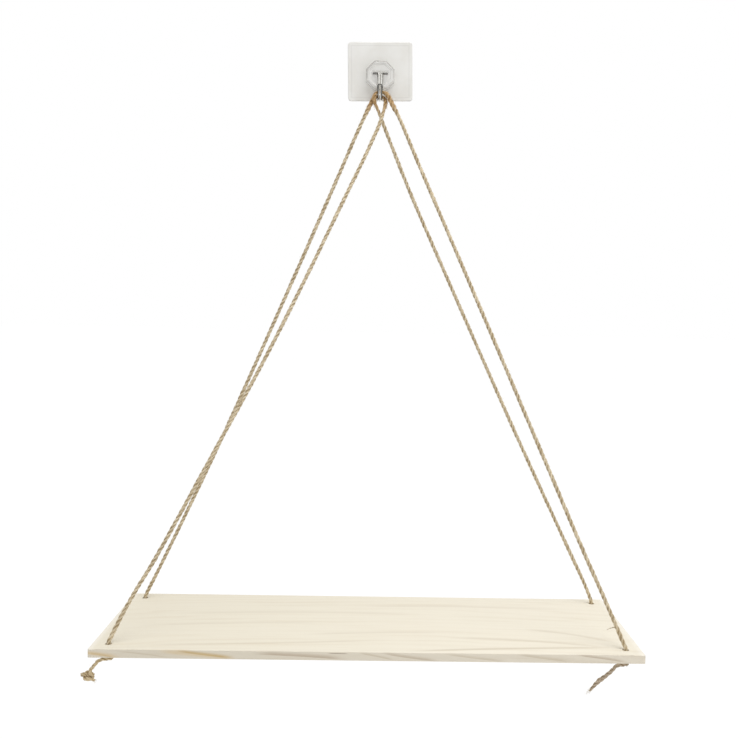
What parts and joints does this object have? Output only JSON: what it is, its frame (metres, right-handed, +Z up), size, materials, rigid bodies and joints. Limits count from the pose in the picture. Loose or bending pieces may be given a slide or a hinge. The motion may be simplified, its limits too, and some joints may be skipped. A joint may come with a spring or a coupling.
{
  "type": "hanging rope shelf",
  "caption": "Thin wooden board slung by jute ropes from a folding steel hook on a clear adhesive wall plate.",
  "frame": {"origin": "centre of the adhesive film's back face, on the wall", "axes": "+Z up, +Y into the wall, +X to the right of someone who faces the wall; the shelf stands out along -Y"},
  "size_m": [0.4593, 0.151, 0.558],
  "materials": {
    "clear_plastic": "clear, slightly milky, smooth",
    "film": "clear soft adhesive film",
    "steel_wire": "bright drawn wire",
    "jute_rope": "twisted natural fibre, hairy",
    "pale_wood": "planed, unfinished, fine straight grain"
  },
  "bodies": {
    "wall_hook": {"adhesive_film": "film", "wall_plate": "clear_plastic", "hook_hub": "clear_plastic"},
    "hook": {"steel_hook": "steel_wire"},
    "shelf": {"left_rope": "jute_rope", "right_rope": "jute_rope", "shelf_board": "pale_wood", "knot_front_left": "jute_rope", "knot_front_right": "jute_rope", "knot_back_left": "jute_rope", "knot_back_right": "jute_rope"}
  },
  "joints": [
    {"name": "hook_turn", "type": "hinge", "parent": "wall_hook", "child": "hook", "pos_m": [0, -0.0075, -0.0029], "axis": [-1, 0, 0], "range_deg": [0, 90]},
    {"name": "side_swing", "type": "hinge", "parent": "hook", "child": "shelf", "pos_m": [0, -0.0119, -0.028], "axis": [0, 1, 0], "range_deg": [-10, 10]}
  ]
}
